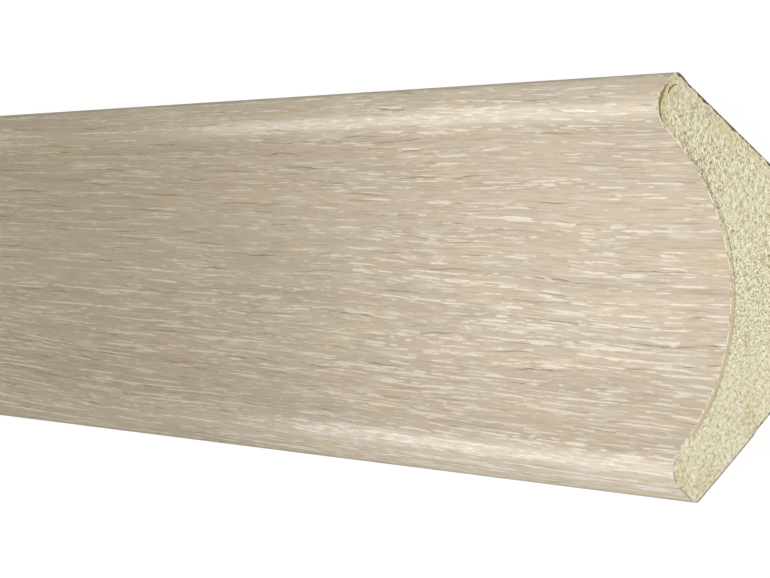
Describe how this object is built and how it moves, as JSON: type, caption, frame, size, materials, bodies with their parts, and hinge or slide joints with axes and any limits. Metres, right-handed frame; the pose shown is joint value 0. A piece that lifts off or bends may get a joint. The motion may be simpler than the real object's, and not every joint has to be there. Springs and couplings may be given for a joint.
{
  "type": "scotia moulding",
  "caption": "Long scotia moulding for the corner of a wall and ceiling: MDF with a hollow face, rounded lips, leaning back seats and a flat back, wrapped in pale oak-grain foil.",
  "frame": {"origin": "middle of the flat back, at half length, where the moulding rests", "axes": "+X along the length, +Y across the face from arris to arris, +Z out of the flat back towards the hollow face"},
  "size_m": [2.6, 0.055, 0.016],
  "materials": {
    "mdf": "raw MDF, sawn at the ends and planed on the back",
    "foil": "satin printed foil, pale limed oak grain"
  },
  "bodies": {
    "root": {"mdf_core": "mdf", "decor_foil": "foil"}
  },
  "joints": []
}
